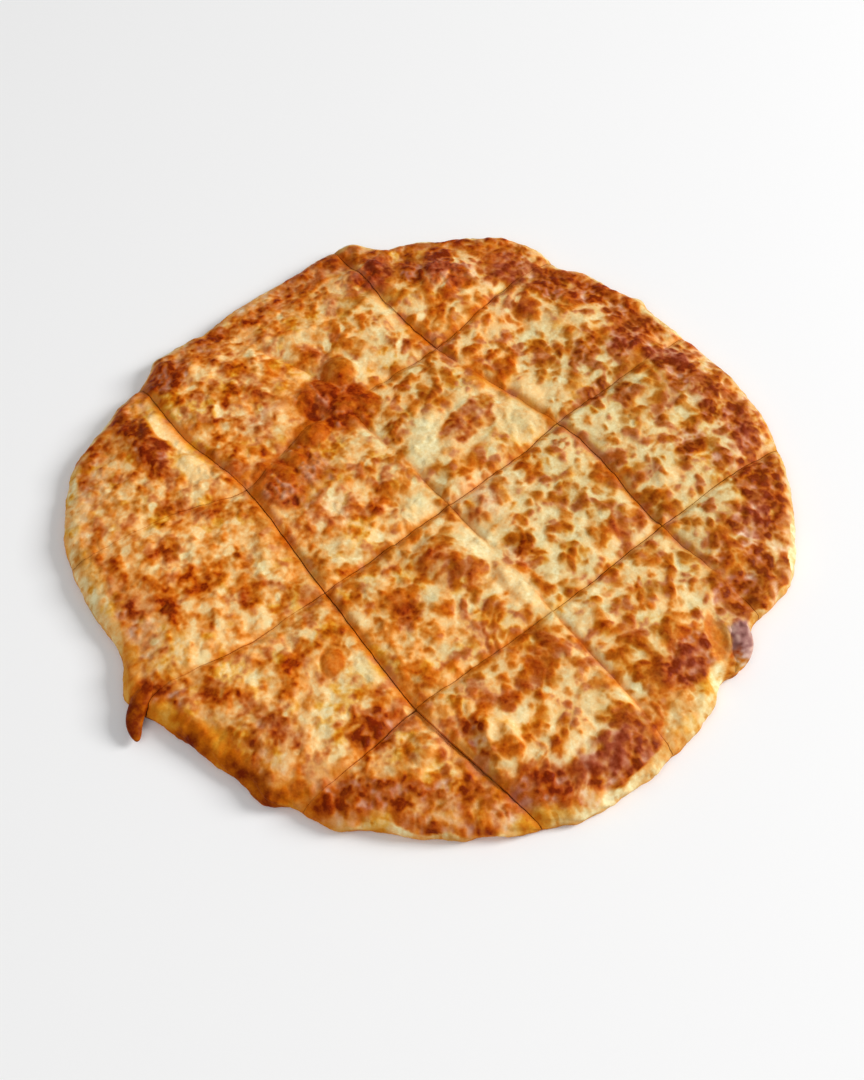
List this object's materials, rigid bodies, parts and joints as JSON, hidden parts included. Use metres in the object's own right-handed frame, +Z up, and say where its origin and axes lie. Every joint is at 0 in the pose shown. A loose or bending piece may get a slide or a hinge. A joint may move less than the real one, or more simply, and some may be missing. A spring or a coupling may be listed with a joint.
{
  "type": "feteer",
  "caption": "Round flat cheese feteer with a browned, blistered top and a pale rounded rim, cut by hand into slices that still lie together as the whole pie.",
  "frame": {"origin": "under the middle of the whole pie, on the surface that it rests on", "axes": "+Z up through the browned top, +X to the right and +Y away from the viewer as pictured"},
  "size_m": [0.3004, 0.2924, 0.0156],
  "materials": {
    "crust": "baked cheese crust, mottled cream, golden and brown, with a soft oily sheen"
  },
  "bodies": {
    "root": {"slice_a1": "crust", "slice_a2": "crust", "slice_a3": "crust", "slice_a4": "crust", "slice_b1": "crust", "slice_b2": "crust", "slice_b3": "crust", "slice_b4": "crust", "slice_c1": "crust", "slice_c2": "crust", "slice_c3": "crust", "slice_c4": "crust", "slice_d1": "crust", "slice_d2": "crust", "slice_d3": "crust", "slice_d4": "crust"}
  },
  "joints": []
}
